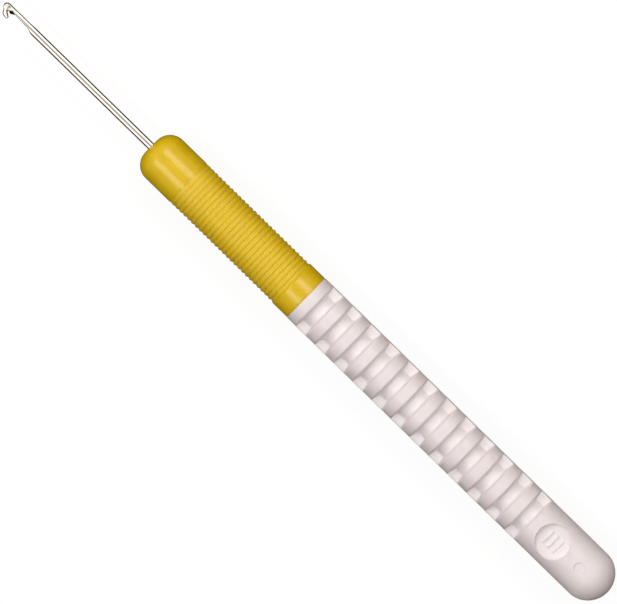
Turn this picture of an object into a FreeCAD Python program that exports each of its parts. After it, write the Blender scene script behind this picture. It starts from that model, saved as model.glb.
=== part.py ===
"""Fine crochet hook: a steel hook held in a ringed plastic handle with a ribbed grip sleeve.

The three pieces are drawn lying along X, with X measured from the butt of the handle and the axis at
Y = Z = 0. Each piece's Placement then sets the hook down on the surface Z = 0, centred in X, with its tip
towards +X, its lip towards +Y and the round size mark on top, at +Z. All sizes are in millimetres.
"""
import FreeCAD, Part
import os
import re
import Sketcher

SIZES = {
    # whole object
    "overall_length": 130.0,
    # handle
    "handle_diameter": 8.5,
    "handle_length": 65.0,
    "first_gap_at": 16.15,
    "gap_count": 12,
    "gap_pitch": 4.08,
    "gap_width": 2.05,
    "core_diameter": 5.5,
    "ring_edge_radius": 0.3,
    "gap_floor_radius": 0.25,
    "web_thickness": 1.8,
    # spigot of the handle, inside the grip sleeve
    "spigot_diameter": 5.8,
    "spigot_length": 29.0,
    "bead_count": 4,
    "bead_pitch": 7.0,
    "bead_width": 1.2,
    "bead_height": 0.2,
    "first_bead_at": 68.0,
    # round size mark and gate mark on the crown of the handle
    "mark_diameter": 5.5,
    "mark_at": 11.65,
    "mark_floor_height": 3.04,
    "bar_length": 2.4,
    "bar_width": 0.4,
    "bar_spacing": 1.1,
    "bar_relief": 0.15,
    "gate_diameter": 1.7,
    "gate_at": 5.95,
    "gate_depth": 0.2,
    # grip sleeve
    "sleeve_length": 33.4,
    "sleeve_diameter": 8.24,
    "band_diameter": 8.38,
    "band_length": 3.2,
    "nose_radius": 2.8,
    "groove_count": 27,
    "groove_pitch": 0.83,
    "groove_width": 0.5,
    "groove_depth": 0.19,
    "first_groove_at": 68.6,
    # steel hook
    "wire_diameter": 1.25,
    "tang_at": 72.0,
    "key_at": 74.0,
    "key_length": 4.0,
    "key_width": 1.75,
    "key_thickness": 0.7,
    "taper_at": 123.4,
    "taper_length": 1.6,
    "neck_back": 0.57,
    "neck_rise": 0.22,
    "head_length": 2.2,
    "neck_overlap": 0.2,
    "throat_mouth_rise": 0.13,
    "throat_depth_back": 1.2,
    "throat_low": 0.48,
    "throat_high": 0.6,
    "throat_radius": 0.2,
    "tip_radius": 0.58,
    "tip_angle": 45.0,
    "tip_side_length": 0.55,
    "lip_shoulder_back": 1.0,
    "lip_shoulder_rise": 1.42,
    "lip_shoulder_radius": 0.5,
    "lip_end_back": 1.72,
    "lip_end_rise": 1.52,
    "lip_inner_back": 1.84,
    "lip_inner_rise": 1.06,
    "lip_end_radius": 0.24,
    "head_thickness": 1.0,
    "head_edge_radius": 0.12,
}

TOLERANCE = 0.001


# ---------------------------------------------------------------------------------------- document tools

def new_sheet(doc):
    """The spreadsheet of driving sizes: names in column A, numbers with aliases in column B."""
    sheet = doc.addObject("Spreadsheet::Sheet", "sizes")
    for row, (alias, value) in enumerate(SIZES.items(), start=1):
        sheet.set(f"A{row}", alias.replace("_", " "))
        sheet.set(f"B{row}", str(value))
        sheet.setAlias(f"B{row}", alias)
    doc.recompute()
    return sheet


def cell(expression):
    """An expression in which every size's name is replaced by its cell's full name."""
    return re.sub(r"\w+", lambda word: f"sizes.{word[0]}" if word[0] in SIZES else word[0], expression)


def value_of(body, expression):
    """What an expression comes to now, as a plain number."""
    result = body.Document.sizes.evalExpression(cell(expression))
    return float(getattr(result, "Value", result))


def new_body(doc, label):
    body = doc.addObject("PartDesign::Body", label)
    body.Label = label
    body.setExpression("Placement.Base.x", cell("- overall_length / 2"))
    body.setExpression("Placement.Base.z", cell("handle_diameter / 2"))
    return body


def origin_feature(body, role):
    return next(item for item in body.Origin.OriginFeatures if item.Role == role)


def new_sketch(body, name, plane, height="0"):
    """A sketch on one of the body's origin planes, moved along the plane's normal by height."""
    sketch = body.newObject("Sketcher::SketchObject", name)
    sketch.AttachmentSupport = [(origin_feature(body, plane), "")]
    sketch.MapMode = "FlatFace"
    sketch.setExpression("AttachmentOffset.Base.z", cell(height))
    return sketch


def bind_last(sketch, expression):
    """Binds the newest constraint of a sketch to a sheet expression."""
    sketch.setExpression(f"Constraints[{sketch.ConstraintCount - 1}]", cell(expression))


def pin(sketch, body, curve, point, place):
    """Holds one point of a curve at a place, given as an (x, y) pair of expressions."""
    for kind, expression in zip(("DistanceX", "DistanceY"), place):
        number = value_of(body, expression)
        sketch.addConstraint(Sketcher.Constraint(kind, -1, 1, curve, point, number))
        bind_last(sketch, expression)


def arc_between(start, end, radius, left):
    """The shorter arc from start to end, with its centre to the left or right of the way."""
    chord = end - start
    half = chord.Length / 2
    across = FreeCAD.Vector(-chord.y, chord.x, 0).normalize() * (1 if left else -1)
    centre = (start + end) / 2 + across * max(radius * radius - half * half, 0) ** 0.5
    first, last = (start, end) if left else (end, start)
    circle = Part.Circle(centre, FreeCAD.Vector(0, 0, 1), radius)
    return Part.ArcOfCircle(circle, circle.parameter(first), circle.parameter(last))


def draw_loop(sketch, body, steps):
    """A closed outline. Each step is (x, y) for a straight edge to the next point, or
    (x, y, radius, side) for an arc to the next point with its centre on that side of the way."""
    places = [FreeCAD.Vector(value_of(body, step[0]), value_of(body, step[1]), 0) for step in steps]
    ends = []
    for index, step in enumerate(steps):
        start = places[index]
        end = places[(index + 1) % len(steps)]
        if len(step) == 2:
            curve = sketch.addGeometry(Part.LineSegment(start, end), False)
            ends.append((curve, 1, 2))
            continue
        radius = value_of(body, step[2])
        left = step[3] == "left"
        curve = sketch.addGeometry(arc_between(start, end, radius, left), False)
        ends.append((curve, 1, 2) if left else (curve, 2, 1))
        sketch.addConstraint(Sketcher.Constraint("Radius", curve, radius))
        bind_last(sketch, step[2])
    for index, (curve, first, _) in enumerate(ends):
        before, _, last = ends[index - 1]
        sketch.addConstraint(Sketcher.Constraint("Coincident", before, last, curve, first))
        pin(sketch, body, curve, first, steps[index][:2])


def draw_circle(sketch, body, centre, diameter):
    """A circle at a place given as an (x, y) pair of expressions."""
    place = FreeCAD.Vector(value_of(body, centre[0]), value_of(body, centre[1]), 0)
    size = value_of(body, diameter)
    curve = sketch.addGeometry(Part.Circle(place, FreeCAD.Vector(0, 0, 1), size / 2), False)
    sketch.addConstraint(Sketcher.Constraint("Diameter", curve, size))
    bind_last(sketch, diameter)
    if centre == ("0", "0"):
        sketch.addConstraint(Sketcher.Constraint("Coincident", curve, 3, -1, 1))
    else:
        pin(sketch, body, curve, 3, centre)


def rectangle(x_low, x_high, y_low, y_high):
    return [(x_low, y_low), (x_high, y_low), (x_high, y_high), (x_low, y_high)]


def side_edges(shape, height, beyond_x):
    """Names of the edges that lie in the planes Z = height and Z = -height, past a station along X."""
    names = []
    for number, edge in enumerate(shape.Edges, start=1):
        box = edge.BoundBox
        level = box.ZLength < TOLERANCE and abs(abs(box.ZMin) - height) < TOLERANCE
        if level and box.XMin > beyond_x - TOLERANCE and box.XLength > TOLERANCE:
            names.append(f"Edge{number}")
    return names


def add_feature(body, kind, name, sketch, **settings):
    feature = body.newObject(f"PartDesign::{kind}", name)
    feature.Profile = sketch
    for setting, value in settings.items():
        setattr(feature, setting, value)
    sketch.Visibility = False
    return feature


def extrude(body, kind, name, sketch, length, **settings):
    feature = add_feature(body, kind, name, sketch, **settings)
    feature.setExpression("Length", cell(length))
    return feature


def turn(body, kind, name, sketch):
    """A full Revolution or Groove of a sketch about the X axis."""
    return add_feature(body, kind, name, sketch, ReferenceAxis=(sketch, ["H_Axis"]), Angle=360.0)


def repeat_along_x(body, name, feature, count, pitch):
    pattern = body.newObject("PartDesign::LinearPattern", name)
    pattern.Originals = [feature]
    pattern.Direction = (origin_feature(body, "X_Axis"), [""])
    pattern.setExpression("Length", cell(f"({count} - 1) * {pitch}"))
    pattern.setExpression("Occurrences", cell(count))
    body.Tip = pattern
    return pattern


# ---------------------------------------------------------------------------------------- shared sections

def tang_sections(body, kind, **settings):
    """The embedded end of the steel: a round stub, a flattened key and the round wire above it.
    The hook adds these sections and the handle cuts the same ones out, so they fit face to face."""
    stub = new_sketch(body, f"{kind}_stub_section", "YZ_Plane", "tang_at")
    draw_circle(stub, body, ("0", "0"), "wire_diameter")
    extrude(body, kind, f"{kind}_stub", stub, "key_at - tang_at", **settings)
    key = new_sketch(body, f"{kind}_key_section", "YZ_Plane", "key_at")
    draw_loop(key, body, rectangle(
        "- key_width / 2", "key_width / 2", "- key_thickness / 2", "key_thickness / 2"))
    extrude(body, kind, f"{kind}_key", key, "key_length", **settings)
    wire = new_sketch(body, f"{kind}_wire_section", "YZ_Plane", "key_at + key_length")
    draw_circle(wire, body, ("0", "0"), "wire_diameter")
    return wire


def bead_outline(sketch, body):
    """A low collar on the spigot, with sloping sides."""
    low = "first_bead_at"
    high = "first_bead_at + bead_width"
    crest = "spigot_diameter / 2 + bead_height"
    draw_loop(sketch, body, [
        (low, "spigot_diameter / 4"),
        (high, "spigot_diameter / 4"),
        (high, "spigot_diameter / 2"),
        (f"{high} - bead_height", crest),
        (f"{low} + bead_height", crest),
        (low, "spigot_diameter / 2"),
    ])


# ---------------------------------------------------------------------------------------- steel hook

def build_steel_hook(doc):
    """A round wire with a flattened key inside the handle, a cut-away neck, a throat and a blunt lip."""
    body = new_body(doc, "steel_hook")
    head = new_sketch(body, "head_outline", "XY_Plane")
    head_base = "overall_length - head_length"
    tip_x = "overall_length - tip_radius"
    tip_y = "tip_radius - neck_back"
    side_x = f"{tip_x} + tip_radius * cos(tip_angle)"
    side_y = f"{tip_y} + tip_radius * sin(tip_angle)"
    throat_x = "overall_length - throat_depth_back"
    draw_loop(head, body, [
        (head_base, "- neck_back"),
        (tip_x, "- neck_back", "tip_radius", "left"),
        (side_x, side_y),
        (f"{side_x} - tip_side_length * sin(tip_angle)", f"{side_y} + tip_side_length * cos(tip_angle)",
         "lip_shoulder_radius", "left"),
        ("overall_length - lip_shoulder_back", "lip_shoulder_rise"),
        ("overall_length - lip_end_back", "lip_end_rise", "lip_end_radius", "left"),
        ("overall_length - lip_inner_back", "lip_inner_rise"),
        (throat_x, "throat_high", "throat_radius", "right"),
        (throat_x, "throat_low"),
        (head_base, "throat_mouth_rise"),
    ])
    pad = extrude(body, "Pad", "head", head, "head_thickness", Midplane=True)
    doc.recompute()
    rounding = body.newObject("PartDesign::Fillet", "head_rounding")
    half_thickness = value_of(body, "head_thickness / 2")
    rounding.Base = (pad, side_edges(pad.Shape, half_thickness, value_of(body, head_base)))
    rounding.setExpression("Radius", cell("head_edge_radius"))

    wire = tang_sections(body, "Pad")
    neck_end = "overall_length - head_length + neck_overlap"
    extrude(body, "Pad", "wire", wire, f"{neck_end} - key_at - key_length")
    cut = new_sketch(body, "neck_cut_outline", "XY_Plane")
    beyond = "wire_diameter * 2"
    draw_loop(cut, body, [
        ("taper_at", "wire_diameter / 2"),
        ("taper_at + taper_length", "neck_rise"),
        (neck_end, "throat_mouth_rise"),
        (neck_end, beyond),
        ("taper_at", beyond),
    ])
    extrude(body, "Pocket", "neck_cut", cut, beyond, Midplane=True)
    return body


# ---------------------------------------------------------------------------------------- handle

def build_handle(doc):
    """One moulding: domed butt, rings on a thinner core, two side webs, and a spigot with retaining beads."""
    body = new_body(doc, "handle")
    radius = "handle_diameter / 2"
    spigot_end = "handle_length + spigot_length"
    outline = new_sketch(body, "handle_outline", "XY_Plane")
    draw_loop(outline, body, [
        ("0", "0"),
        (spigot_end, "0"),
        (spigot_end, "spigot_diameter / 2"),
        ("handle_length", "spigot_diameter / 2"),
        ("handle_length", radius),
        (radius, radius, radius, "left"),
    ])
    turn(body, "Revolution", "handle_blank", outline)

    gap = new_sketch(body, "gap_outline", "XY_Plane")
    gap_start = "first_gap_at"
    gap_end = "first_gap_at + gap_width"
    core = "core_diameter / 2"
    edge = "ring_edge_radius"
    floor = "gap_floor_radius"
    draw_loop(gap, body, [
        (f"{gap_start} + {floor}", core),
        (f"{gap_end} - {floor}", core, floor, "left"),
        (gap_end, f"{core} + {floor}"),
        (gap_end, f"{radius} - {edge}", edge, "right"),
        (f"{gap_end} + {edge}", radius),
        (f"{gap_end} + {edge}", f"{radius} + {edge}"),
        (f"{gap_start} - {edge}", f"{radius} + {edge}"),
        (f"{gap_start} - {edge}", radius, edge, "right"),
        (gap_start, f"{radius} - {edge}"),
        (gap_start, f"{core} + {floor}", floor, "left"),
    ])
    groove = turn(body, "Groove", "gap", gap)
    repeat_along_x(body, "gaps", groove, "gap_count", "gap_pitch")

    web = new_sketch(body, "web_section", "YZ_Plane", "first_gap_at - ring_edge_radius")
    half_web = "web_thickness / 2"
    half_width = "sqrt(handle_diameter * handle_diameter - web_thickness * web_thickness) / 2"
    draw_loop(web, body, [
        (f"- {half_width}", f"- {half_web}"),
        (half_width, f"- {half_web}", radius, "left"),
        (half_width, half_web),
        (f"- {half_width}", half_web, radius, "left"),
    ])
    extrude(body, "Pad", "webs", web, "(gap_count - 1) * gap_pitch + gap_width + 2 * ring_edge_radius")

    bead = new_sketch(body, "bead_outline", "XY_Plane")
    bead_outline(bead, body)
    collar = turn(body, "Revolution", "bead", bead)
    repeat_along_x(body, "beads", collar, "bead_count", "bead_pitch")

    size_mark = new_sketch(body, "size_mark_outline", "XY_Plane", "mark_floor_height")
    draw_circle(size_mark, body, ("mark_at", "0"), "mark_diameter")
    extrude(body, "Pocket", "size_mark", size_mark, "handle_diameter", Reversed=True)
    for index, offset in enumerate(("- bar_spacing", "0", "bar_spacing"), start=1):
        bar = new_sketch(body, f"bar_{index}_outline", "XY_Plane", "mark_floor_height")
        middle = f"mark_at + {offset}"
        draw_loop(bar, body, rectangle(
            f"{middle} - bar_width / 2", f"{middle} + bar_width / 2", "- bar_length / 2", "bar_length / 2"))
        extrude(body, "Pad", f"bar_{index}", bar, "bar_relief")

    gate = new_sketch(body, "gate_mark_outline", "XY_Plane", "handle_diameter / 2 - gate_depth")
    draw_circle(gate, body, ("gate_at", "0"), "gate_diameter")
    extrude(body, "Pocket", "gate_mark", gate, "handle_diameter", Reversed=True)

    wire = tang_sections(body, "Pocket", Reversed=True)
    socket_length = "handle_length + spigot_length - key_at - key_length"
    extrude(body, "Pocket", "wire_socket", wire, socket_length, Reversed=True)
    return body


# ---------------------------------------------------------------------------------------- grip sleeve

def build_grip_sleeve(doc):
    """A soft sleeve over the spigot, with fine ribs and a rounded nose that closes round the wire."""
    body = new_body(doc, "grip_sleeve")
    front = "handle_length + sleeve_length"
    spigot_end = "handle_length + spigot_length"
    radius = "sleeve_diameter / 2"
    band_end = "handle_length + band_length"
    step = "(band_diameter - sleeve_diameter) / 2"
    outline = new_sketch(body, "sleeve_outline", "XY_Plane")
    draw_loop(outline, body, [
        ("handle_length", "spigot_diameter / 2"),
        (spigot_end, "spigot_diameter / 2"),
        (spigot_end, "wire_diameter / 2"),
        (front, "wire_diameter / 2"),
        (front, f"{radius} - nose_radius", "nose_radius", "left"),
        (f"{front} - nose_radius", radius),
        (f"{band_end} + {step}", radius),
        (band_end, "band_diameter / 2"),
        ("handle_length", "band_diameter / 2"),
    ])
    turn(body, "Revolution", "sleeve_blank", outline)

    rib = new_sketch(body, "groove_outline", "XY_Plane")
    half = "groove_width / 2"
    draw_loop(rib, body, [
        (f"first_groove_at - {half}", radius),
        ("first_groove_at", f"{radius} - groove_depth"),
        (f"first_groove_at + {half}", radius),
        (f"first_groove_at + {half}", f"{radius} + groove_depth"),
        (f"first_groove_at - {half}", f"{radius} + groove_depth"),
    ])
    groove = turn(body, "Groove", "groove", rib)
    repeat_along_x(body, "grooves", groove, "groove_count", "groove_pitch")

    seat = new_sketch(body, "bead_seat_outline", "XY_Plane")
    bead_outline(seat, body)
    bead_seat = turn(body, "Groove", "bead_seat", seat)
    repeat_along_x(body, "bead_seats", bead_seat, "bead_count", "bead_pitch")
    return body


# ---------------------------------------------------------------------------------------- build and write

def check(doc, bodies):
    failed = [item.Name for item in doc.Objects if {"Invalid", "Error"} & set(item.State)]
    if failed:
        raise RuntimeError(f"features that failed: {failed}")
    for body in bodies:
        if body.Shape.isNull() or not body.Shape.isValid() or len(body.Shape.Solids) != 1:
            raise RuntimeError(f"{body.Label} is not one valid solid")


def main():
    doc = FreeCAD.newDocument("crochet_hook")
    new_sheet(doc)
    bodies = [build_steel_hook(doc), build_handle(doc), build_grip_sleeve(doc)]
    doc.recompute()
    check(doc, bodies)
    os.makedirs("parts", exist_ok=True)
    for body in bodies:
        body.Shape.exportStep(f"parts/{body.Label}.step")
        box = body.Shape.optimalBoundingBox()
        print(f"{body.Label}: volume {body.Shape.Volume:.2f} mm3, x {box.XMin:.2f}..{box.XMax:.2f}, "
              f"y {box.YMin:.2f}..{box.YMax:.2f}, z {box.ZMin:.2f}..{box.ZMax:.2f}")


main()
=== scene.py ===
"""Looks for the crochet hook: a steel hook, a ringed white handle and a ribbed yellow grip sleeve.

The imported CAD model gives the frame. Each visible piece is a finer mesh that stands for its CAD node, inside
the object's own box. X runs along the hook towards its steel tip, the lip points to +Y, and the size mark is
on the +Z side. Stations along the hook are counted from the butt of the handle, and radii from the long axis.
"""
import math
import bmesh
import bpy
from mathutils import Matrix, Vector


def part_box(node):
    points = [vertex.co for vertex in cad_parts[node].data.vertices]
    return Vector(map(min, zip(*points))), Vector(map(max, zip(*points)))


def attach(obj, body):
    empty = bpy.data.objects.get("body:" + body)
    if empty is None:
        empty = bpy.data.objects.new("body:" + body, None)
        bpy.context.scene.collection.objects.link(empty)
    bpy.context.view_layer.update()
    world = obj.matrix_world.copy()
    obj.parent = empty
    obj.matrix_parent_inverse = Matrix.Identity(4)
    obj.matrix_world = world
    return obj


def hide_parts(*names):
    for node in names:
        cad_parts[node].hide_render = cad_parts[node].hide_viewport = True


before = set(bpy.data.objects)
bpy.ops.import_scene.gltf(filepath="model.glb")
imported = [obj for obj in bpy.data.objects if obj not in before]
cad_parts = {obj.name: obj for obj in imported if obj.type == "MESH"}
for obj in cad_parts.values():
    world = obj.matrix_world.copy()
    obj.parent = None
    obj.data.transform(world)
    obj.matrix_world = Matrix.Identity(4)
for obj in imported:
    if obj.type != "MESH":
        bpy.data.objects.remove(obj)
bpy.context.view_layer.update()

MM = 0.001

# -------------------------------------------------------------------------------- places from the frame

handle_low, handle_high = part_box("handle")
sleeve_low, sleeve_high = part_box("grip_sleeve")
hook_low, hook_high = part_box("steel_hook")
BUTT_X = handle_low.x
AXIS_Z = (handle_low.z + handle_high.z) / 2
HANDLE_RADIUS = (handle_high.z - handle_low.z) / 2
HANDLE_END = sleeve_low.x - BUTT_X
SLEEVE_END = sleeve_high.x - BUTT_X
SPIGOT_END = handle_high.x - BUTT_X
TIP = hook_high.x - BUTT_X
TANG_START = hook_low.x - BUTT_X

# -------------------------------------------------------------------------------- driving sizes

FIRST_GAP = 16.15 * MM
GAP_COUNT = 12
GAP_PITCH = 4.08 * MM
GAP_WIDTH = 2.05 * MM
CORE_RADIUS = 2.75 * MM
WEB_HALF_THICKNESS = 0.9 * MM
RING_EDGE_RADIUS = 0.36 * MM
GAP_FLOOR_RADIUS = 0.42 * MM
WALL_DRAFT = 0.14 * MM
WEB_FILLET = 0.36 * MM
PARTING_RIDGE = 0.015 * MM
RIDGE_ANGLE = 0.8  # degrees
FRONT_RING = HANDLE_END - 1.0 * MM
NEARLY_ZERO = 0.001  # a sine

SPIGOT_RADIUS = 2.9 * MM
BEAD_COUNT = 4
BEAD_PITCH = 7.0 * MM
BEAD_WIDTH = 1.2 * MM
BEAD_HEIGHT = 0.2 * MM
FIRST_BEAD = 68.0 * MM
SPIGOT_STEP = 0.1 * MM
SPIGOT_CHAMFER = 0.2 * MM

MARK_STATION = 11.65 * MM
MARK_RADIUS = 2.75 * MM
MARK_FLOOR = 3.04 * MM
MARK_EDGE = 0.16 * MM
MARK_WINDOW = 3.6 * MM
BAR_SPACING = 1.1 * MM
BAR_WIDTH = 0.4 * MM
BAR_LENGTH = 2.4 * MM
BAR_RELIEF = 0.15 * MM
BAR_BEVEL = 0.07 * MM
BAR_MARGIN = 0.25 * MM
GATE_STATION = 5.95 * MM
GATE_RADIUS = 0.85 * MM
GATE_FLOOR = HANDLE_RADIUS - 0.2 * MM
GATE_EDGE = 0.18 * MM
GATE_WINDOW = 1.42 * MM
WALL_RUN = 0.12 * MM
WALL_SLOPE = 9.0
RIM_SPREAD = 2.2
# painted light: how strongly the recesses of the size mark and gate are coloured lighter, and the depth over
# which it rises
RECESS_PAINTED_LIGHT = 0.8
RECESS_PAINTED_LIGHT_DEPTH = 1.2 * MM

SLEEVE_RADIUS = 4.12 * MM
BAND_RADIUS = 4.19 * MM
BAND_LENGTH = 3.2 * MM
NOSE_RADIUS = 2.8 * MM
GROOVE_COUNT = 27
GROOVE_PITCH = 0.83 * MM
GROOVE_DEPTH = 0.16 * MM
GROOVE_FADE = 4.0 * MM
FRONT_GROOVE_SHARE = 0.45
GROOVE_SHARPNESS = 1.2
FIRST_GROOVE = 68.6 * MM

WIRE_RADIUS = 0.625 * MM
KEY_START = 74.0 * MM
KEY_LENGTH = 4.0 * MM
KEY_RAMP = 0.4 * MM
KEY_HALF_WIDTH = 0.875 * MM
KEY_HALF_THICKNESS = 0.35 * MM
CLEARANCE = 0.01 * MM

HEAD_END = TIP - 2.5 * MM
NECK_END = TIP - 5.0 * MM
TAPER_END = TIP - 6.6 * MM
TAPER_MARGIN = 0.4 * MM
THROAT = (TIP - 1.84 * MM, 0.25 * MM)
FULL_BEVEL_WIDTH = 0.8 * MM
CREASE_DEPTH = 0.05 * MM
NECK_BEVEL = 0.11 * MM
NECK_BEVEL_SLOPE = 1.6
NECK_EDGE = 0.04 * MM
NECK_FLAT = 0.13 * MM
TAPER_FLAT = 0.22 * MM
NECK_BACK = 0.545 * MM
UNCUT = WIRE_RADIUS + NECK_EDGE
HOOK_SIDES = 64

LAMP_DISTANCE = 0.6
CAMERA_DISTANCE = 0.9
VIEW_WIDTH = 95.16 * MM


# -------------------------------------------------------------------------------- mesh tools

def place(station, y, z):
    """A point of the object from its station along the axis and its offsets from the axis."""
    return Vector((BUTT_X + station, y, AXIS_Z + z))


def soft_max(a, b, width):
    """The larger of a and b, with a rounded change from one to the other."""
    blend = max(width - abs(a - b), 0) / width
    return max(a, b) + blend * blend * width / 4


def soft_min(a, b, width):
    """The smaller of a and b, rounded in the same way."""
    return -soft_max(-a, -b, width)


def smooth_step(value, low, high):
    """0 up to low, 1 from high on, and a smooth rise between them."""
    share = min(max((value - low) / (high - low), 0), 1)
    return share * share * (3 - 2 * share)


def spread(start, end, count):
    """Numbers from start to end in even steps, both ends included."""
    return [start + (end - start) * index / count for index in range(count + 1)]


def run(start, end, radius, count):
    """Stations and radii of a straight run at one radius."""
    return [(station, radius) for station in spread(start, end, count)]


def arc(station, height, radius, start, end, count):
    """Stations and radii of an arc about a centre. Angles are in degrees, from outwards towards the tip."""
    angles = [math.radians(angle) for angle in spread(start, end, count)]
    return [(station + radius * math.sin(angle), height + radius * math.cos(angle)) for angle in angles]


def new_piece(name, vertices, faces, material, node, marks=None):
    """A smooth mesh object for one CAD node. marks are named numbers, one for each vertex."""
    mesh = bpy.data.meshes.new(name)
    mesh.from_pydata([tuple(vertex) for vertex in vertices], [], faces)
    mesh.polygons.foreach_set("use_smooth", [True] * len(mesh.polygons))
    for mark, values in (marks or {}).items():
        layer = mesh.attributes.new(mark, "FLOAT", "POINT")
        layer.data.foreach_set("value", values)
    mesh.update()
    piece = bpy.data.objects.new(name, mesh)
    bpy.context.scene.collection.objects.link(piece)
    mesh.materials.append(material)
    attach(piece, "root")
    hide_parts(node)
    return piece


def join_rings(rings, closed=False, skip=None):
    """Outward faces between rings of equal size. The points of a ring run from +Y to +Z where the outside is
    laid along +X, and from -Y to +Z where it is laid along -X. skip(i, j) leaves a face out."""
    size = len(rings[0])
    faces = []
    last = len(rings) if closed else len(rings) - 1
    for i in range(last):
        here = i * size
        there = ((i + 1) % len(rings)) * size
        for j in range(size):
            k = (j + 1) % size
            if skip is None or not skip(i, j):
                faces.append((here + j, here + k, there + k, there + j))
    return faces


def close_ring(vertices, faces, ring_start, size, middle, at_end):
    """A fan of triangles from the first ring of a row, or the one at its end, to a new middle point."""
    pole = len(vertices)
    vertices.append(middle)
    for j in range(size):
        triangle = (ring_start + j, ring_start + (j + 1) % size, pole)
        faces.append(triangle if at_end else triangle[::-1])


# -------------------------------------------------------------------------------- embedded steel

def oval_point(angle, half_width, half_thickness, squareness):
    """Offsets along Y and Z of a point on a rounded section."""
    across, up = math.cos(angle), math.sin(angle)
    power = 2 / squareness
    y = half_width * math.copysign(abs(across) ** power, across)
    return y, half_thickness * math.copysign(abs(up) ** power, up)


def tang_sections(clearance):
    """Stations and sections of the embedded steel, from its end to the round wire past the flattened key."""
    wire = (WIRE_RADIUS + clearance, WIRE_RADIUS + clearance, 2)
    key = (KEY_HALF_WIDTH + clearance, KEY_HALF_THICKNESS + clearance, 4)
    key_end = KEY_START + KEY_LENGTH
    return [(TANG_START - clearance, wire), (KEY_START - KEY_RAMP, wire), (KEY_START + KEY_RAMP, key),
            (key_end - KEY_RAMP, key), (key_end + KEY_RAMP, wire)]


# -------------------------------------------------------------------------------- handle

def handle_angles():
    """Angles round the handle from +Y, closer together at the parting ridge and at the feet of the webs."""
    quarter = [0, RIDGE_ANGLE, 2, 5, 8, 10.5, 12.5, 14.5, 16.5, 18.5, 20.5, 23, 26, 30, 34, 38.5, 43, 47.5]
    quarter += [52, 56, 60, 64, 68, 71, 74, 77, 80, 83.5, 87]
    half = quarter + [90] + [180 - angle for angle in reversed(quarter[1:])]
    return [math.radians(angle) for angle in half + [180 + angle for angle in half]]


def web_reach(angle):
    """How far the web section reaches from the axis at an angle from +Y."""
    rise = abs(math.sin(angle))
    return min(HANDLE_RADIUS, WEB_HALF_THICKNESS / max(rise, NEARLY_ZERO))


def gap_profile(start):
    """Stations and radii over one gap: rounded ring edge, wall, rounded corner, floor, and the same back."""
    edge_low = HANDLE_RADIUS - RING_EDGE_RADIUS
    floor_high = CORE_RADIUS + GAP_FLOOR_RADIUS
    corner = start + WALL_DRAFT + GAP_FLOOR_RADIUS
    side = arc(start - RING_EDGE_RADIUS, edge_low, RING_EDGE_RADIUS, 0, 85, 6)
    for share in (0.25, 0.5, 0.75):
        side.append((start + WALL_DRAFT * share, edge_low + (floor_high - edge_low) * share))
    side += arc(corner, floor_high, GAP_FLOOR_RADIUS, -90, -180, 5)
    middle = start + GAP_WIDTH / 2
    other_side = [(2 * middle - station, radius) for station, radius in reversed(side)]
    return side + [(middle, CORE_RADIUS)] + other_side


def spigot_profile():
    """Stations and radii of the spigot, with its collars and the chamfer at its end."""
    profile = [(HANDLE_END, SPIGOT_RADIUS + SPIGOT_STEP), (HANDLE_END + SPIGOT_STEP, SPIGOT_RADIUS)]
    crest = SPIGOT_RADIUS + BEAD_HEIGHT
    for index in range(BEAD_COUNT):
        low = FIRST_BEAD + index * BEAD_PITCH
        high = low + BEAD_WIDTH
        profile += [(low, SPIGOT_RADIUS), (low + BEAD_HEIGHT, crest)]
        profile += [(high - BEAD_HEIGHT, crest), (high, SPIGOT_RADIUS)]
    profile.append((SPIGOT_END - SPIGOT_CHAMFER, SPIGOT_RADIUS))
    return profile + [(SPIGOT_END, SPIGOT_RADIUS - SPIGOT_CHAMFER)]


def handle_profile():
    """Stations and radii of the handle's skin from the domed butt to the end of the spigot."""
    profile = arc(HANDLE_RADIUS, 0, HANDLE_RADIUS, -90, 0, 22)[1:]
    profile += run(GATE_STATION - GATE_WINDOW, GATE_STATION + GATE_WINDOW, HANDLE_RADIUS, 12)
    # the window round the size mark has as many steps as the grid of bars inside it
    mark_steps = len(bar_lines()) - 1
    profile += run(MARK_STATION - MARK_WINDOW, MARK_STATION + MARK_WINDOW, HANDLE_RADIUS, mark_steps)
    for index in range(GAP_COUNT):
        gap = gap_profile(FIRST_GAP + index * GAP_PITCH)
        profile += run(profile[-1][0], gap[0][0], HANDLE_RADIUS, 4)[1:-1] + gap
    rim = 0.15 * MM
    profile += run(profile[-1][0], HANDLE_END - rim, HANDLE_RADIUS, 4)[1:]
    profile += [(HANDLE_END - rim / 3, HANDLE_RADIUS - rim / 3), (HANDLE_END, HANDLE_RADIUS - rim)]
    return profile + spigot_profile()


def handle_ring(station, radius, angles):
    """One ring of the skin. In the gaps the side webs reach out to the full radius, and on the rings the
    parting ridge stands out a little along both sides."""
    in_gap = FIRST_GAP - 2 * RING_EDGE_RADIUS < station < FRONT_RING and radius < HANDLE_RADIUS
    ring = []
    for angle in angles:
        reach = radius
        if in_gap:
            reach = min(soft_max(radius, web_reach(angle), WEB_FILLET), HANDLE_RADIUS)
        on_ridge = abs(math.sin(angle)) < NEARLY_ZERO
        if radius > HANDLE_RADIUS - PARTING_RIDGE and not on_ridge:
            reach = min(reach, HANDLE_RADIUS - PARTING_RIDGE)
        ring.append(place(station, reach * math.cos(angle), reach * math.sin(angle)))
    return ring


def depth_in_gap(station, radius):
    """0 on the rings, rising to 1 on the floor of a gap. It masks the painted light that colours the gaps
    lighter.
    """
    if not FIRST_GAP < station < FRONT_RING:
        return 0.0
    return smooth_step(HANDLE_RADIUS - radius, 0, HANDLE_RADIUS - CORE_RADIUS)


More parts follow.
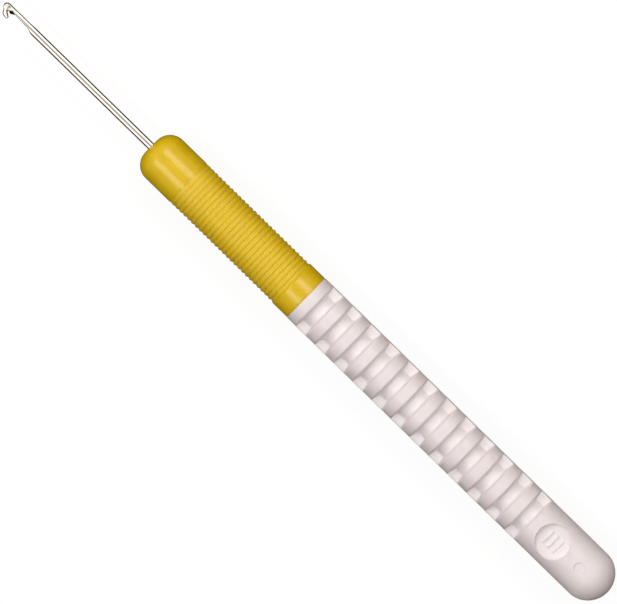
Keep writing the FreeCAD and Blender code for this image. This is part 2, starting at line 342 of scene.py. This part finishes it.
def bar_lines():
    """Grid lines across the raised bars, each with its share of the full relief."""
    half = BAR_WIDTH / 2
    steps = [(-half - BAR_BEVEL, 0), (-half, 0.55), (-half + BAR_BEVEL, 1), (0, 1.04),
             (half - BAR_BEVEL, 1), (half, 0.55), (half + BAR_BEVEL, 0)]
    lines = [(centre + step, share) for centre in (-BAR_SPACING, 0, BAR_SPACING) for step, share in steps]
    margin = BAR_SPACING + half + 0.7 * BAR_WIDTH
    return [(-margin, 0)] + lines + [(margin, 0)]


def bar_rows(count):
    """Grid lines along the raised bars from +Y to -Y, each with its share of the full relief."""
    half = BAR_LENGTH / 2
    ends = [(half + BAR_MARGIN, 0), (half + BAR_BEVEL, 0), (half, 0.55), (half - BAR_BEVEL, 1)]
    inner = half - 4 * BAR_BEVEL
    middle = [(y, 1) for y in spread(inner, -inner, count - 2 * len(ends))]
    return ends + middle + [(-y, share) for y, share in reversed(ends)]


def grid_rim(first_row, last_row, first_column, last_column, size):
    """The closed loop of vertex numbers round a window in a grid whose rows hold size points."""
    rim = [first_row * size + j for j in range(first_column, last_column)]
    rim += [i * size + last_column for i in range(first_row, last_row)]
    rim += [last_row * size + j for j in range(last_column, first_column, -1)]
    return rim + [i * size + first_column for i in range(last_row, first_row, -1)]


def link_loops(faces, outer, inner):
    """Adds the faces between two closed loops of as many vertex numbers."""
    for j in range(len(outer)):
        k = (j + 1) % len(outer)
        faces.append((outer[j], outer[k], inner[k], inner[j]))


def add_recess(vertices, faces, rim, centre, radius, floor, edge, inmost):
    """Loops that lead from a window's rim to a round flat-bottomed recess. Returns the last loop, which is a
    circle of the radius inmost on the floor."""
    corners = [(vertices[v].x - BUTT_X - centre, vertices[v].y) for v in rim]
    turns = [math.atan2(y, x) for x, y in corners]
    reaches = [math.hypot(x, y) for x, y in corners]
    brink = radius + WALL_RUN
    # each step is a circle's radius and how far the loop has turned from the window's shape into that circle
    steps = [(brink + RIM_SPREAD * edge, share) for share in (0.4, 0.75, 1)]
    steps += [(brink + edge * share, 1) for share in (1.6, 1.1, 0.75, 0.5, 0.3, 0.15, 0)]
    steps += [(radius + WALL_RUN * share, 1) for share in (0.75, 0.5, 0.25, 0)]
    steps += [(radius - edge * share, 1) for share in (0.15, 0.35, 0.6, 1)]
    steps += [(reach, 1) for reach in spread(radius - edge, inmost, 3)[1:]]
    skin = HANDLE_RADIUS - PARTING_RIDGE
    previous = rim
    for target, share in steps:
        current = []
        for turn, reach in zip(turns, reaches):
            plan = reach + (target - reach) * share
            x, y = plan * math.cos(turn), plan * math.sin(turn)
            crown = math.sqrt(skin * skin - y * y)
            wall = soft_max(floor, floor + (plan - radius) * WALL_SLOPE, edge)
            current.append(len(vertices))
            vertices.append(place(centre + x, y, soft_min(crown, wall, edge)))
        link_loops(faces, previous, current)
        previous = current
    return previous


def add_bars(vertices, faces, loop, rows):
    """Fills the floor of the size mark with a grid that carries three raised bars."""
    columns = bar_lines()
    lines = bar_rows(rows - 1)
    first = len(vertices)
    for x, rise_x in columns:
        for y, rise_y in lines:
            vertices.append(place(MARK_STATION + x, y, MARK_FLOOR + BAR_RELIEF * rise_x * rise_y))
    link_loops(faces, loop, [first + v for v in grid_rim(0, len(columns) - 1, 0, rows - 1, rows)])
    for i in range(len(columns) - 1):
        for j in range(rows - 1):
            here = first + i * rows + j
            there = here + rows
            faces.append((here, here + 1, there + 1, there))


def find_window(profile, angles, centre, reach):
    """First and last ring and angle of the window round a mark on the crown."""
    rows = [i for i, (station, _) in enumerate(profile) if abs(station - centre) < reach + CLEARANCE]
    skin = HANDLE_RADIUS - PARTING_RIDGE
    on_top = [j for j, angle in enumerate(angles) if math.sin(angle) > 0]
    columns = [j for j in on_top if abs(skin * math.cos(angles[j])) < reach]
    return rows[0], rows[-1], columns[0] - 1, columns[-1] + 1


def build_handle(material):
    """The skin, the spigot and the socket for the steel, with two recesses set into windows in the skin."""
    angles = handle_angles()
    size = len(angles)
    profile = handle_profile()
    rings = [handle_ring(station, radius, angles) for station, radius in profile]
    # painted light: the marks colour the gap floors lighter the deeper they lie
    marks = [depth_in_gap(station, radius) for station, radius in profile for _ in angles]
    socket = [(SPIGOT_END, tang_sections(CLEARANCE)[0][1])] + tang_sections(CLEARANCE)[::-1]
    for station, section in socket:
        rings.append([place(station, *oval_point(angle, *section)) for angle in angles])
    mark_window = find_window(profile, angles, MARK_STATION, MARK_WINDOW)
    gate_window = find_window(profile, angles, GATE_STATION, GATE_WINDOW)

    def in_window(i, j):
        for first_row, last_row, first_column, last_column in (mark_window, gate_window):
            if first_row <= i < last_row and first_column <= j < last_column:
                return True
        return False

    faces = join_rings(rings, skip=in_window)
    vertices = [point for ring in rings for point in ring]
    close_ring(vertices, faces, 0, size, place(0, 0, 0), False)
    close_ring(vertices, faces, (len(rings) - 1) * size, size, place(TANG_START - CLEARANCE, 0, 0), True)
    mark_rim = grid_rim(*mark_window, size)
    inmost = 0.87 * MARK_RADIUS
    loop = add_recess(vertices, faces, mark_rim, MARK_STATION, MARK_RADIUS, MARK_FLOOR, MARK_EDGE, inmost)
    add_bars(vertices, faces, loop, mark_window[3] - mark_window[2] + 1)
    gate_rim = grid_rim(*gate_window, size)
    inmost = 0.3 * GATE_RADIUS
    loop = add_recess(vertices, faces, gate_rim, GATE_STATION, GATE_RADIUS, GATE_FLOOR, GATE_EDGE, inmost)
    close_ring(vertices, faces, loop[0], len(loop), place(GATE_STATION, 0, GATE_FLOOR), True)
    # the vertices that don't belong to the turned skin: socket, ends and recesses; deeper ones get more of the
    # painted light that colours the recesses lighter
    for vertex in vertices[len(marks):]:
        depth = HANDLE_RADIUS - math.hypot(vertex.y, vertex.z - AXIS_Z)
        marks.append(RECESS_PAINTED_LIGHT * smooth_step(depth, 0, RECESS_PAINTED_LIGHT_DEPTH))
    return new_piece("handle_moulding", vertices, faces, material, "handle", {"painted_gap_light": marks})


# -------------------------------------------------------------------------------- grip sleeve

def sleeve_profile():
    """Stations and radii of the sleeve's closed section: outside from rear to front, then the bore back."""
    start = HANDLE_END
    band_end = start + BAND_LENGTH
    rim = 0.12 * MM
    profile = [(start, BAND_RADIUS - rim), (start + rim / 3, BAND_RADIUS - rim / 4)]
    profile += run(start + rim, band_end, BAND_RADIUS, 6)
    groove_start = FIRST_GROOVE - GROOVE_PITCH / 2
    groove_end = groove_start + GROOVE_COUNT * GROOVE_PITCH
    steps = 10
    for index in range(GROOVE_COUNT * steps + 1):
        wave = 0.5 - 0.5 * math.cos(2 * math.pi * index / steps)
        station = groove_start + index * GROOVE_PITCH / steps
        full = smooth_step(groove_end - station, 0, GROOVE_FADE)
        share = FRONT_GROOVE_SHARE + (1 - FRONT_GROOVE_SHARE) * full
        profile.append((station, SLEEVE_RADIUS - GROOVE_DEPTH * share * wave ** GROOVE_SHARPNESS))
    nose_start = SLEEVE_END - NOSE_RADIUS
    profile += run(groove_end, nose_start, SLEEVE_RADIUS, 10)[1:]
    profile += arc(nose_start, SLEEVE_RADIUS - NOSE_RADIUS, NOSE_RADIUS, 0, 90, 18)[1:]
    hole = WIRE_RADIUS + CLEARANCE
    mouth = 0.18 * MM
    profile += arc(SLEEVE_END - mouth, hole + mouth, mouth, 90, 180, 5)
    profile.append((SPIGOT_END + CLEARANCE, hole))
    spigot = reversed(spigot_profile())
    return profile + [(station + CLEARANCE, radius + CLEARANCE) for station, radius in spigot]


def build_sleeve(material):
    """A turned shell, marked with how far each ring belongs to the ribs."""
    turns = 96
    angles = [2 * math.pi * index / turns for index in range(turns)]
    profile = sleeve_profile()
    groove_end = FIRST_GROOVE + (GROOVE_COUNT - 0.5) * GROOVE_PITCH
    rings = []
    marks = []
    for station, radius in profile:
        rings.append([place(station, radius * math.cos(angle), radius * math.sin(angle)) for angle in angles])
        past_first = smooth_step(station, FIRST_GROOVE - GROOVE_PITCH, FIRST_GROOVE)
        past_last = smooth_step(station, groove_end - GROOVE_PITCH, groove_end)
        marks += [past_first * (1 - past_last)] * turns
    vertices = [point for ring in rings for point in ring]
    faces = join_rings(rings, closed=True)
    return new_piece("sleeve_moulding", vertices, faces, material, "grip_sleeve", {"ribbed": marks})


# -------------------------------------------------------------------------------- steel hook

def curve_through(points, count):
    """Points on a Catmull-Rom curve through the given ones, with count steps from one to the next."""
    padded = [2 * points[0] - points[1]] + points + [2 * points[-1] - points[-2]]
    result = []
    for span in range(len(points) - 1):
        a, b, c, d = padded[span:span + 4]
        for t in (step / count for step in range(count)):
            result.append(0.5 * (2 * b + (c - a) * t + (2 * a - 5 * b + 4 * c - d) * t * t
                                 + (3 * b - a - 3 * c + d) * t * t * t))
    return result + [points[-1]]


def head_sections():
    """The head in millimetres behind the tip and towards the lip. Each row is a point of the outer outline,
    the point across from it on the throat side, half the thickness there, and how far the lower edge of the
    throat side juts out."""
    rows = [
        (1.84, 1.47, 1.94, 1.22, 0.26, 0),
        (1.69, 1.52, 1.90, 1.08, 0.34, 0),
        (1.38, 1.50, 1.72, 0.94, 0.40, 0),
        (1.04, 1.44, 1.53, 0.81, 0.44, 0),
        (0.76, 1.25, 1.38, 0.70, 0.47, 0),
        (0.62, 0.99, 1.27, 0.62, 0.49, 0),
        (0.48, 0.74, 1.20, 0.57, 0.50, 0),
        (0.27, 0.52, 1.165, 0.54, 0.51, 0),
        (0.08, 0.30, 1.15, 0.515, 0.52, 0),
        (0.00, 0.04, 1.16, 0.49, 0.52, 0),
        (0.08, -0.23, 1.20, 0.465, 0.52, 0),
        (0.30, -0.44, 1.27, 0.435, 0.53, 0),
        (0.62, -0.55, 1.38, 0.39, 0.54, 0.06),
        (1.05, -0.575, 1.54, 0.33, 0.55, 0.26),
        (1.55, -0.56, 1.82, 0.225, 0.58, 0.42),
        (2.10, -0.55, 2.18, 0.14, 0.60, 0.26),
        (2.50, -0.545, 2.50, 0.13, 0.61, 0),
    ]
    outer = curve_through([Vector((row[0], row[1], row[4], 0)) * MM for row in rows], 5)
    inner = curve_through([Vector((row[2], row[3], row[4], row[5])) * MM for row in rows], 5)
    return list(zip(outer, inner))


def bevelled_section(width, half_thickness):
    """Half a section of the head: distances in from the outer outline, and heights. Both edges are bevelled,
    and the face between them leans outwards."""
    outer = [(0, 0), (0.03, 0.17), (0.07, 0.33), (0.11, 0.46), (0.15, 0.58), (0.19, 0.68), (0.235, 0.73)]
    inner = [(0.22, 1), (0.18, 0.93), (0.14, 0.8), (0.1, 0.62), (0.06, 0.44), (0.02, 0.2), (0, 0)]
    scale = min(1, width / FULL_BEVEL_WIDTH) * MM
    outer = [(step * scale, rise) for step, rise in outer]
    inner = [(width - step * scale, rise) for step, rise in inner]
    steps = (HOOK_SIDES + 2) // 2 - len(outer) - len(inner) + 1
    middle = zip(spread(outer[-1][0], inner[0][0], steps), spread(outer[-1][1], inner[0][1], steps))
    return [(distance, rise * half_thickness) for distance, rise in outer + list(middle)[1:-1] + inner]


def crease_depth(s, y):
    """How far the head is sunk behind the crease that runs up from the throat. s and y are metres behind the
    tip and towards the lip."""
    crease = 0.84 * MM + 0.3 * max(y, 0)
    behind = smooth_step(s - crease, -0.02 * MM, 0.05 * MM) * (1 - smooth_step(s, 1.1 * MM, 1.7 * MM))
    beside = smooth_step(y, -0.3 * MM, -0.05 * MM) * (1 - smooth_step(y, 0.4 * MM, 0.5 * MM))
    return CREASE_DEPTH * behind * beside


def head_ring(outer, inner, neck):
    """One section of the head, from the outer outline to the throat side. neck runs from 0, the bevelled
    head, to 1, the cut-away round wire."""
    width = (inner - outer).xy.length
    upper = bevelled_section(width, (outer.z + inner.z) / 2)
    section = upper + [(distance, -rise) for distance, rise in reversed(upper[1:-1])]
    ring = []
    for index, (distance, z) in enumerate(section):
        wire_y, wire_z = neck_point(2 * math.pi * index / len(section), inner.y, -outer.y)
        distance += (wire_y - outer.y - distance) * neck
        z += (wire_z - z) * neck
        s, y = outer.xy + (inner - outer).xy * distance / width
        throat_side = smooth_step(distance / width, 0.55, 0.8)
        lower_side = smooth_step(-z, -0.3 * inner.z, 0.45 * inner.z)
        y += inner.w * throat_side * lower_side
        z *= 1 - crease_depth(s, y) / inner.z
        ring.append(place(TIP - s, y, z))
    return ring


def neck_point(angle, flat, back):
    """A point of the round wire at an angle from its back. The wire is cut off flat on the lip side, with a
    bevel along the cut, and a little flattened at its back. flat and back are how far the two cuts are from
    the axis."""
    across, up = -math.cos(angle), math.sin(angle)
    corner = math.sqrt(max(WIRE_RADIUS * WIRE_RADIUS - flat * flat, 0))
    bevel = NECK_BEVEL_SLOPE * (flat - NECK_BEVEL) + corner
    bevel += (UNCUT * math.hypot(NECK_BEVEL_SLOPE, 1) - bevel) * smooth_step(flat, TAPER_FLAT, UNCUT)
    cuts = [(across, flat), (-across, back), (NECK_BEVEL_SLOPE * across + abs(up), bevel)]
    reach = WIRE_RADIUS
    for facing, distance in cuts:
        if facing > 0:
            reach = soft_min(reach, distance / facing, NECK_EDGE)
    return reach * across, reach * up


def neck_ring(station, flat, back):
    """A section of the neck or taper with its two cuts."""
    points = [neck_point(2 * math.pi * index / HOOK_SIDES, flat, back) for index in range(HOOK_SIDES)]
    return [place(station, y, z) for y, z in points]


def build_hook(material):
    """One loft from the end of the lip, round the nose and along the neck, taper and wire to the tang."""
    angles = [2 * math.pi * index / HOOK_SIDES for index in range(HOOK_SIDES)]
    head = head_sections()
    last = len(head) - 1
    rings = [head_ring(outer, inner, smooth_step(i / last, 0.8, 1)) for i, (outer, inner) in enumerate(head)]
    for station in spread(HEAD_END, TAPER_END - TAPER_MARGIN, 34)[1:]:
        along_neck = smooth_step(HEAD_END - station, 0, HEAD_END - NECK_END)
        along_taper = smooth_step(NECK_END - station, 0, NECK_END - TAPER_END)
        flat = NECK_FLAT + (TAPER_FLAT - NECK_FLAT) * along_neck + (UNCUT - TAPER_FLAT) * along_taper
        rings.append(neck_ring(station, flat, NECK_BACK + (UNCUT - NECK_BACK) * along_taper))
    shank = spread(TAPER_END - TAPER_MARGIN, KEY_START + KEY_LENGTH + KEY_RAMP, 40)[1:-1]
    sections = [(station, (WIRE_RADIUS, WIRE_RADIUS, 2)) for station in shank] + tang_sections(0)[::-1]
    for station, section in sections:
        rings.append([place(station, -y, z) for y, z in (oval_point(angle, *section) for angle in angles)])
    vertices = [point for ring in rings for point in ring]
    faces = join_rings(rings)
    lip_bulge = Vector((-0.07 * MM, 0.03 * MM, 0))
    lip_end = sum(rings[0], Vector()) / HOOK_SIDES + lip_bulge
    close_ring(vertices, faces, 0, HOOK_SIDES, lip_end, False)
    close_ring(vertices, faces, (len(rings) - 1) * HOOK_SIDES, HOOK_SIDES, place(TANG_START, 0, 0), True)
    return new_piece("hook_wire", vertices, faces, material, "steel_hook")


# -------------------------------------------------------------------------------- materials

class Shader:
    """A node material under construction, with short ways to add and join its nodes."""

    def __init__(self, name):
        self.material = bpy.data.materials.new(name)
        self.material.use_nodes = True
        self.tree = self.material.node_tree
        self.surface = self.tree.nodes["Principled BSDF"]

    def add(self, kind, settings=None, **sockets):
        """A new node. Sockets are given by name with _ for a space, and take a number, colour or output."""
        node = self.tree.nodes.new(kind)
        for setting, value in (settings or {}).items():
            setattr(node, setting, value)
        for socket, value in sockets.items():
            self.feed(node.inputs[socket.replace("_", " ")], value)
        return node

    def feed(self, socket, value):
        """Joins a socket to another node's output, or gives it a plain value."""
        if isinstance(value, bpy.types.NodeSocket):
            self.tree.links.new(value, socket)
        else:
            socket.default_value = value

    def set(self, **sockets):
        """Feeds sockets of the surface shader, named as in add."""
        for socket, value in sockets.items():
            self.feed(self.surface.inputs[socket.replace("_", " ")], value)

    def points(self, stretch=(1, 1, 1)):
        """The object's own coordinates, stretched."""
        place_on_object = self.add("ShaderNodeTexCoord").outputs["Object"]
        return self.add("ShaderNodeMapping", Vector=place_on_object, Scale=stretch).outputs[0]

    def noise(self, points, grain, detail=3.0):
        """Noise whose blotches are about grain metres across."""
        return self.add("ShaderNodeTexNoise", Vector=points, Scale=1 / grain, Detail=detail).outputs["Fac"]

    def ramp(self, value, low, high, out_low, out_high):
        """out_low where value is up to low, out_high where it is high or more, and straight between them."""
        return self.add("ShaderNodeMapRange", Value=value, From_Min=low, From_Max=high,
                        To_Min=out_low, To_Max=out_high).outputs["Result"]

    def mix(self, factor, first, second):
        """The first colour where factor is 0, and the second where it is 1."""
        node = self.add("ShaderNodeMix", {"data_type": "RGBA"})
        self.feed(node.inputs[0], factor)
        self.feed(node.inputs[6], first)
        self.feed(node.inputs[7], second)
        return node.outputs[2]

    def mark(self, name):
        """The numbers that new_piece gave to the vertices under a name."""
        return self.add("ShaderNodeAttribute", {"attribute_name": name}).outputs["Fac"]

    def bump(self, height, depth, below=None):
        """A bump of the given depth in metres, on top of another one."""
        node = self.add("ShaderNodeBump", Height=height, Distance=depth, Strength=1.0)
        if below is not None:
            self.feed(node.inputs["Normal"], below)
        return node.outputs[0]


def white_plastic():
    """Satin, slightly translucent moulding: faint clouds of tone, and painted light that colours the gaps and
    recesses lighter.
    """
    shader = Shader("white_plastic")
    points = shader.points()
    # the third colour is painted light: gap floors and recesses are coloured lighter than the rings
    darker, lighter, painted_light_in_gaps = (0.82, 0.757, 0.775, 1), (0.86, 0.796, 0.817, 1), (0.905, 0.86, 0.87, 1)
    cloud = shader.ramp(shader.noise(points, 2.5 * MM), 0.35, 0.65, 0, 1)
    colour = shader.mix(shader.mark("painted_gap_light"), shader.mix(cloud, darker, lighter), painted_light_in_gaps)
    grain = shader.noise(points, 0.12 * MM, 2.0)
    waves = shader.noise(points, 1.6 * MM, 1.0)
    relief = shader.bump(grain, 0.004 * MM, shader.bump(waves, 0.02 * MM))
    shader.set(Base_Color=colour, Roughness=shader.ramp(grain, 0.3, 0.7, 0.34, 0.46), Normal=relief)
    shader.set(Specular_IOR_Level=0.35, Subsurface_Weight=0.15, Subsurface_Radius=(1.0, 0.8, 0.65))
    shader.set(Subsurface_Scale=0.7 * MM)
    return shader.material


def yellow_plastic():
    """Smooth soft moulding, duller on the ribs than on the plain front and the rear band."""
    shader = Shader("yellow_plastic")
    points = shader.points()
    darker, lighter = (0.73, 0.49, 0.004, 1), (0.765, 0.52, 0.006, 1)
    cloud = shader.ramp(shader.noise(points, 2.0 * MM), 0.35, 0.65, 0, 1)
    grain = shader.noise(points, 0.1 * MM, 2.0)
    waves = shader.noise(points, 1.8 * MM, 1.0)
    relief = shader.bump(grain, 0.003 * MM, shader.bump(waves, 0.015 * MM))
    smooth = shader.ramp(grain, 0.3, 0.7, 0.18, 0.26)
    added_on_ribs = 0.3
    rough = shader.add("ShaderNodeMath", {"operation": "MULTIPLY_ADD"})
    for socket, value in zip(rough.inputs, (shader.mark("ribbed"), added_on_ribs, smooth)):
        shader.feed(socket, value)
    shader.set(Base_Color=shader.mix(cloud, darker, lighter), Roughness=rough.outputs[0], Normal=relief)
    shader.set(Specular_IOR_Level=0.6)
    return shader.material


def polished_steel():
    """Drawn wire: fine lines along X, and painted shade: a dark patch round the throat."""
    shader = Shader("polished_steel")
    lines = shader.noise(shader.points((0.02, 1, 1)), 0.05 * MM, 2.0)
    darker, lighter, painted_throat_shade = (0.84, 0.80, 0.72, 1), (0.88, 0.845, 0.775, 1), (0.13, 0.105, 0.07, 1)
    cloud = shader.ramp(shader.noise(shader.points((0.3, 1, 1)), 1.5 * MM), 0.35, 0.65, 0, 1)
    metal = shader.mix(cloud, darker, lighter)
    # painted shade: the steel round the throat is coloured dark, standing in for the shade inside it
    away = shader.add("ShaderNodeVectorMath", {"operation": "DISTANCE"})
    shader.feed(away.inputs[0], shader.points((1, 1, 0)))
    shader.feed(away.inputs[1], (BUTT_X + THROAT[0], THROAT[1], 0))
    full_shade_reach, no_shade_reach = 0.28 * MM, 0.44 * MM
    throat_shade_mask = shader.ramp(away.outputs["Value"], full_shade_reach, no_shade_reach, 1, 0)
    shader.set(Base_Color=shader.mix(throat_shade_mask, metal, painted_throat_shade), Metallic=1.0)
    shader.set(Roughness=shader.ramp(lines, 0.3, 0.7, 0.10, 0.2), Normal=shader.bump(lines, 0.001 * MM))
    return shader.material


# -------------------------------------------------------------------------------- stage, lights, camera

def stage_surface(name, tone, glow):
    """A new empty mesh that only the camera sees, so that it neither lights the object nor shades it."""
    mesh = bpy.data.meshes.new(name)
    surface = bpy.data.objects.new(name, mesh)
    bpy.context.scene.collection.objects.link(surface)
    shader = Shader("pale_" + name)
    shader.set(Base_Color=(tone, tone, tone, 1), Roughness=0.9, Specular_IOR_Level=0.0)
    shader.set(Emission_Color=(1, 1, 1, 1), Emission_Strength=glow)
    mesh.materials.append(shader.material)
    surface.visible_diffuse = False
    surface.visible_glossy = False
    surface.visible_shadow = False
    return mesh


def build_stage():
    """A pale floor just under the object, and a pale round backdrop about it."""
    reach = 3.0
    drop = -0.05 * MM
    corners = [(-reach, -reach, drop), (reach, -reach, drop), (reach, reach, drop), (-reach, reach, drop)]
    stage_surface("floor", tone=0.08, glow=0.93).from_pydata(corners, [], [(0, 1, 2, 3)])
    dome = bmesh.new()
    bmesh.ops.create_uvsphere(dome, u_segments=64, v_segments=32, radius=0.95 * reach)
    dome.to_mesh(stage_surface("backdrop", tone=0.0, glow=1.0))
    dome.free()


def soft_box(name, lean, radiance, size, shift=0):
    """A soft box over the hook. lean is how far it stands from overhead towards +X and +Y in degrees, size
    its length and width in metres, and shift how far it is moved along X in metres."""
    light = bpy.data.lights.new(name, "AREA")
    light.shape = "RECTANGLE"
    light.size, light.size_y = size
    light.energy = radiance * math.pi * size[0] * size[1]
    lamp = bpy.data.objects.new(name, light)
    bpy.context.scene.collection.objects.link(lamp)
    lamp.rotation_euler = (-math.radians(lean[1]), math.radians(lean[0]), 0)
    lamp.location = lamp.rotation_euler.to_matrix() @ Vector((0, 0, LAMP_DISTANCE)) + Vector((shift, 0, 0))
    return lamp


def fill_box(*settings):
    """A soft box that lights the surfaces' own colour."""
    soft_box(*settings).visible_glossy = False


def shine_box(pieces, *settings):
    """A soft box that is seen only as shine on some of the pieces."""
    lamp = soft_box(*settings)
    lamp.visible_diffuse = False
    group = bpy.data.collections.new(lamp.name)
    for piece in pieces:
        group.objects.link(piece)
    lamp.light_linking.receiver_collection = group


def build_sky():
    """A soft dome: dark below the horizon, warm low down, weaker overhead, and stronger to -Y and +X. A stop
    is a height, from 0 straight down to 1 straight up, and a colour."""
    world = bpy.data.worlds.new("studio")
    bpy.context.scene.world = world
    world.use_nodes = True
    nodes, links = world.node_tree.nodes, world.node_tree.links
    direction = nodes.new("ShaderNodeTexCoord").outputs["Generated"]
    split = nodes.new("ShaderNodeSeparateXYZ")
    links.new(direction, split.inputs[0])
    height = nodes.new("ShaderNodeMapRange")
    height.inputs["From Min"].default_value = -1.0
    links.new(split.outputs["Z"], height.inputs["Value"])
    ramp = nodes.new("ShaderNodeValToRGB")
    stops = [(0.49, (0.03, 0.025, 0.022)), (0.59, (0.46, 0.38, 0.29)), (0.75, (0.52, 0.46, 0.40)),
             (0.92, (0.46, 0.45, 0.45)), (0.985, (0.42, 0.405, 0.395))]
    elements = ramp.color_ramp.elements
    for position, _ in stops[2:]:
        elements.new(position)
    for element, (position, colour) in zip(elements, stops):
        element.position = position
        element.color = (*colour, 1)
    links.new(height.outputs["Result"], ramp.inputs["Fac"])
    lean = nodes.new("ShaderNodeVectorMath")
    lean.operation = "DOT_PRODUCT"
    lean.inputs[1].default_value = (0.2, -0.25, 0)
    links.new(direction, lean.inputs[0])
    strength = nodes.new("ShaderNodeMath")
    strength.operation = "ADD"
    strength.inputs[1].default_value = 1.0
    links.new(lean.outputs["Value"], strength.inputs[0])
    links.new(ramp.outputs["Color"], nodes["Background"].inputs["Color"])
    links.new(strength.outputs[0], nodes["Background"].inputs["Strength"])


def build_light(plastic, steel):
    """The dome, soft boxes for the surfaces' own colour, and long boxes whose shine runs along the pieces."""
    build_sky()
    fill_box("fill_back", (0, -38), 3.7, (0.8, 0.19), 0.28)
    fill_box("fill_lip", (0, 25), 4.6, (0.8, 0.15), 0.28)
    shine_box(plastic, "streak_back", (0, -35), 1.85, (0.8, 0.29))
    shine_box(plastic, "streak_lip", (0, 28), 1.95, (0.8, 0.26))
    shine_box(steel, "shine_back", (0, -58), 0.97, (1.4, 0.6))
    shine_box(steel, "shine_lip", (0, 46), 1.0, (1.4, 0.6))
    shine_box(steel, "shine_tip", (46, 0), 0.6, (0.6, 0.8))
    bpy.context.scene.view_settings.view_transform = "Standard"


def build_camera():
    """Looks down on the hook from a little to its back side, with the tip at the upper left."""
    tilt = math.radians(5.5)
    turn = math.radians(44.33)
    target = Vector((-0.73 * MM, 0.21 * MM, AXIS_Z))
    data = bpy.data.cameras.new("camera")
    data.sensor_width = 36.0
    data.lens = data.sensor_width * CAMERA_DISTANCE / VIEW_WIDTH
    camera = bpy.data.objects.new("camera", data)
    bpy.context.scene.collection.objects.link(camera)
    back = Vector((0, -math.sin(tilt), math.cos(tilt)))
    along = Vector((1, 0, 0))
    right = -along * math.cos(turn) - back.cross(along) * math.sin(turn)
    up = back.cross(right)
    camera.location = target + back * CAMERA_DISTANCE
    camera.rotation_euler = Matrix([[right[i], up[i], back[i]] for i in range(3)]).to_euler()
    bpy.context.scene.camera = camera


handle = build_handle(white_plastic())
sleeve = build_sleeve(yellow_plastic())
hook = build_hook(polished_steel())
build_stage()
build_light([handle, sleeve], [hook])
build_camera()
